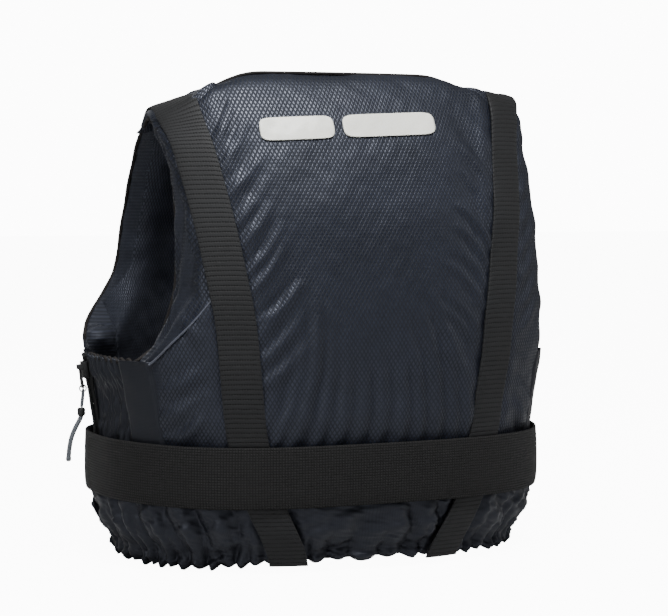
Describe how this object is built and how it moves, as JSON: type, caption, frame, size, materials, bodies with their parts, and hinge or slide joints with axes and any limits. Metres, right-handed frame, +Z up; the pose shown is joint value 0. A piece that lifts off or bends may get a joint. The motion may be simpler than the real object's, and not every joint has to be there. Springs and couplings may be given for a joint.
{
  "type": "buoyancy vest",
  "caption": "Foam-filled sailing buoyancy vest with padded front and back, shoulder webbing, wide waist belt with side-release buckle, side zip and elasticated hem.",
  "frame": {"origin": "on the hem's bottom plane, under the middle of the vest's box", "axes": "+Z up, +Y towards the wearer's back, +X towards the wearer's left"},
  "size_m": [0.4001, 0.2968, 0.4024],
  "materials": {
    "shell_fabric": "glossy dobby-woven coated nylon",
    "lining_fabric": "dobby-woven nylon",
    "gusset_fabric": "plain-woven nylon",
    "skirt_fabric": "plain-woven nylon, gathered",
    "foam": "closed-cell foam, matt",
    "shoulder_webbing": "ribbed polypropylene webbing",
    "belt_webbing": "ribbed polyester webbing",
    "elastic": "woven elastic",
    "zip_tape": "woven tape",
    "zip_coil": "moulded nylon",
    "acetal": "moulded acetal, satin",
    "ring_steel": "polished",
    "cord": "braided polyester",
    "binding": "folded grosgrain",
    "reflective": "retroreflective film"
  },
  "bodies": {
    "vest": {"back_outer_fabric": "shell_fabric", "back_foam_outer": "foam", "back_foam_inner": "foam", "back_lining": "lining_fabric", "back_gussets": "gusset_fabric", "front_outer_fabric": "shell_fabric", "front_foam_outer": "foam", "front_foam_inner": "foam", "front_lining": "lining_fabric", "front_gussets": "gusset_fabric", "shoulder_cover_left": "shell_fabric", "shoulder_cover_right": "shell_fabric", "shoulder_foam_left": "foam", "shoulder_foam_right": "foam", "shoulder_strap_left": "shoulder_webbing", "shoulder_strap_right": "shoulder_webbing", "front_strap_left": "shoulder_webbing", "front_strap_right": "shoulder_webbing", "strap_tail_left": "shoulder_webbing", "strap_tail_right": "shoulder_webbing", "side_panel_left_rear": "gusset_fabric", "side_panel_left_front": "gusset_fabric", "side_panel_right": "gusset_fabric", "side_elastics": "elastic", "zip_tape_rear": "zip_tape", "zip_tape_front": "zip_tape", "zip_coil_rear": "zip_coil", "zip_coil_front": "zip_coil", "zip_stops": "zip_coil", "waist_belt": "belt_webbing", "belt_tail": "belt_webbing", "buckle_housing": "acetal", "buckle_insert": "acetal", "hem_skirt": "skirt_fabric", "hem_channel": "skirt_fabric", "hem_elastic": "elastic", "neck_binding": "binding", "armhole_binding_left": "binding", "armhole_binding_right": "binding", "reflective_bars": "reflective"},
    "zip_slider": {"zip_slider": "acetal"},
    "zip_pull": {"zip_pull_tab": "acetal", "zip_pull_ring": "ring_steel", "zip_pull_cord": "cord", "zip_cord_lock": "acetal", "zip_cord_tail": "cord", "zip_cord_end": "cord"},
    "adjuster_left": {"strap_adjuster_left": "acetal"},
    "adjuster_right": {"strap_adjuster_right": "acetal"},
    "keeper": {"belt_keeper": "acetal"},
    "prong_upper": {"buckle_prong_upper": "acetal"},
    "prong_lower": {"buckle_prong_lower": "acetal"}
  },
  "joints": [
    {"name": "zip_slide", "type": "slide", "parent": "vest", "child": "zip_slider", "axis": [0.1573, 0, 0.9876], "range_m": [-0.01, 0]},
    {"name": "zip_pull_tilt", "type": "hinge", "parent": "zip_slider", "child": "zip_pull", "pos_m": [0.1951, -0.032, 0.15597], "axis": [0, -1, 0], "range_deg": [0, 100]},
    {"name": "adjuster_tilt_left", "type": "hinge", "parent": "vest", "child": "adjuster_left", "pos_m": [0.11388, -0.10567, 0.27636], "axis": [0.9397, 0.342, 0], "range_deg": [0, 25]},
    {"name": "adjuster_tilt_right", "type": "hinge", "parent": "vest", "child": "adjuster_right", "pos_m": [-0.11388, -0.10567, 0.27636], "axis": [0.9397, -0.342, 0], "range_deg": [0, 25]},
    {"name": "keeper_slide", "type": "slide", "parent": "vest", "child": "keeper", "axis": [0.8697, 0.4935, 0], "range_m": [-0.008, 0.008]},
    {"name": "prong_flex_upper", "type": "hinge", "parent": "vest", "child": "prong_upper", "pos_m": [0.012, -0.14436, 0.0995], "axis": [0, -1, 0], "range_deg": [0, 6], "stiffness_Nm_per_rad": 0.6},
    {"name": "prong_flex_lower", "type": "hinge", "parent": "vest", "child": "prong_lower", "pos_m": [0.012, -0.14436, 0.0575], "axis": [0, 1, 0], "range_deg": [0, 6], "stiffness_Nm_per_rad": 0.6}
  ],
  "couplings": [
    {"joint": "prong_flex_lower", "follows": "prong_flex_upper", "ratio": 1}
  ]
}
